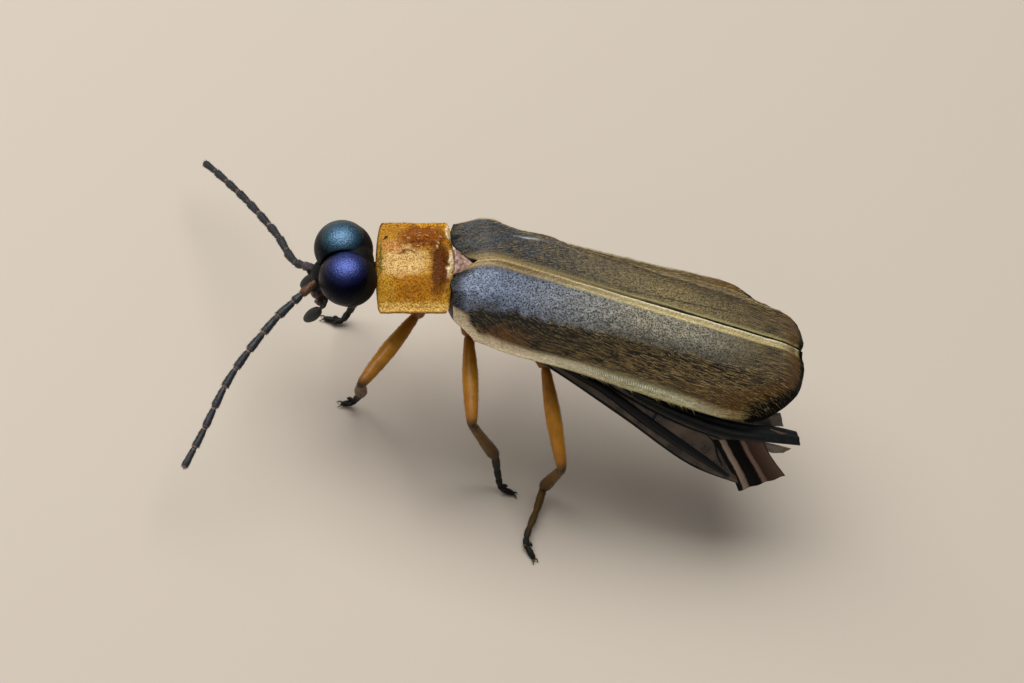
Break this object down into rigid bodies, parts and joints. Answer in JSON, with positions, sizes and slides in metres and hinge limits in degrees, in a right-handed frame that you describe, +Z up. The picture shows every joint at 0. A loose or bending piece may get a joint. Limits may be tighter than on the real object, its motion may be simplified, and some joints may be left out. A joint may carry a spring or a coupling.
{
  "type": "firefly",
  "caption": "Still, life-size male firefly standing with spread feelers, closed wing cases and one flying wing sagging out below its case.",
  "frame": {"origin": "on the floor under the middle of the whole insect's outline box", "axes": "+X towards the tail, along the body; +Y towards the insect's right side; +Z up from the floor"},
  "size_m": [0.014, 0.0086, 0.0057],
  "materials": {
    "eye": "smooth glossy blue-black compound eye with fine facets",
    "head_shell": "dark brown satin shell",
    "mouth": "reddish brown to dark brown satin shell",
    "feeler": "blue-black, finely haired and matte, with pale joints",
    "shield": "orange-yellow translucent shell with a pale rim and reddish brown mottling",
    "scutellum": "pinkish brown satin shell",
    "underside": "dark brown satin shell with fine hairs",
    "light_organ": "pale cream, waxy and slightly translucent",
    "wing_case": "dark brown leathery shell with grey-gold hairs in lines, slate-blue shoulders and cream edges",
    "flying_wing": "smoky translucent membrane with black veins",
    "femur": "amber translucent shell with a dark knee",
    "shin": "olive brown, finely haired",
    "foot": "black, densely haired below"
  },
  "bodies": {
    "root": {"head": "head_shell", "eye_left": "eye", "eye_right": "eye", "mouthparts": "mouth", "palp_left": "mouth", "palp_right": "mouth", "antenna_left": "feeler", "antenna_right": "feeler", "pronotum": "shield", "scutellum": "scutellum", "thorax": "underside", "abdomen": "underside", "light_organ": "light_organ", "elytron_left": "wing_case", "elytron_right": "wing_case", "hindwing_left": "flying_wing", "hindwing_right": "flying_wing", "fore_left_femur": "femur", "fore_left_tibia": "shin", "fore_left_tarsus": "foot", "fore_right_femur": "femur", "fore_right_tibia": "shin", "fore_right_tarsus": "foot", "mid_left_femur": "femur", "mid_left_tibia": "shin", "mid_left_tarsus": "foot", "mid_right_femur": "femur", "mid_right_tibia": "shin", "mid_right_tarsus": "foot", "hind_left_femur": "femur", "hind_left_tibia": "shin", "hind_left_tarsus": "foot", "hind_right_femur": "femur", "hind_right_tibia": "shin", "hind_right_tarsus": "foot"}
  },
  "joints": []
}
